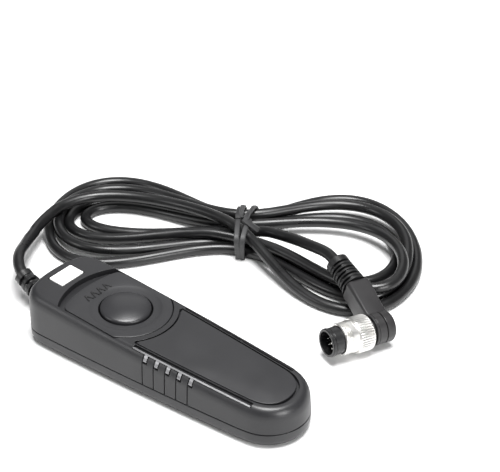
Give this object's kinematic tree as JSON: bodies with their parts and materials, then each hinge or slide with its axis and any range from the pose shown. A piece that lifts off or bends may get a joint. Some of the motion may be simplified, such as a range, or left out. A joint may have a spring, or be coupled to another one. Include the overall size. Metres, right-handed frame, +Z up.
{
  "type": "wired shutter release",
  "caption": "Wired two-stage shutter release with a sliding lock plate, round button, coiled cord and right-angle screw-coupling plug.",
  "frame": {"origin": "on the resting surface, under the middle of the handset", "axes": "+X from the cord end of the handset to its free end, +Z up, +Y towards the coiled cord"},
  "size_m": [0.1672, 0.1551, 0.0209],
  "materials": {
    "case_abs": "finely textured moulded ABS",
    "plate_abs": "finely textured moulded ABS",
    "button_abs": "smooth satin ABS",
    "panel_abs": "smooth matte ABS",
    "trim_plating": "satin plated plastic",
    "badge_plastic": "plain white insert",
    "relief_pvc": "moulded PVC",
    "spring_steel": "drawn wire",
    "board_laminate": "solder-masked laminate",
    "leaf_brass": "spring brass",
    "wire_red": "wire insulation",
    "wire_white": "wire insulation",
    "wire_black": "wire insulation",
    "clamp_nylon": "moulded nylon",
    "screw_steel": "zinc-plated steel",
    "cord_pvc": "satin PVC jacket",
    "tie_pvc": "ribbed wire tie",
    "plug_pvc": "moulded satin plastic",
    "ring_nickel": "knurled nickel plating",
    "shroud_plastic": "moulded satin plastic",
    "insulator_plastic": "moulded insulator",
    "pin_plating": "plated contact"
  },
  "bodies": {
    "root": {"bottom_shell": "case_abs", "top_shell": "case_abs", "grip_panel": "panel_abs", "trim_left": "trim_plating", "trim_right": "trim_plating", "badge": "badge_plastic", "handset_relief": "relief_pvc", "switch_board": "board_laminate", "common_leaf": "leaf_brass", "half_press_leaf": "leaf_brass", "full_press_leaf": "leaf_brass", "wire_common": "wire_red", "wire_half_press": "wire_white", "wire_full_press": "wire_black", "cord_clamp": "clamp_nylon", "case_screw_1": "screw_steel", "case_screw_2": "screw_steel", "case_screw_3": "screw_steel", "cord_lead": "cord_pvc", "cord_coil": "cord_pvc", "cord_tail": "cord_pvc", "cord_tie": "tie_pvc", "plug_relief": "relief_pvc", "plug_body": "plug_pvc", "plug_cap": "plug_pvc", "plug_shroud": "shroud_plastic", "pin_block": "insulator_plastic", "contact_pin_01": "pin_plating", "contact_pin_02": "pin_plating", "contact_pin_03": "pin_plating", "contact_pin_04": "pin_plating", "contact_pin_05": "pin_plating", "contact_pin_06": "pin_plating", "contact_pin_07": "pin_plating", "contact_pin_08": "pin_plating", "contact_pin_09": "pin_plating", "contact_pin_10": "pin_plating"},
    "slide": {"slide_plate": "plate_abs", "return_spring": "spring_steel"},
    "button": {"shutter_button": "button_abs"},
    "ring": {"coupling_ring": "ring_nickel"}
  },
  "joints": [
    {"name": "hold_slide", "type": "slide", "parent": "root", "child": "slide", "axis": [-0.998, 0, 0.0628], "range_m": [0, 0.0022]},
    {"name": "button_press", "type": "slide", "parent": "slide", "child": "button", "axis": [-0.0628, 0, -0.998], "range_m": [0, 0.002], "stiffness_N_per_m": 400, "springref_m": -0.0006, "deforming": ["return_spring"]},
    {"name": "ring_turn", "type": "hinge", "parent": "root", "child": "ring", "pos_m": [0.04775, 0.0585, 0.0066], "axis": [-0.3998, -0.9152, 0.0506], "continuous": true}
  ]
}
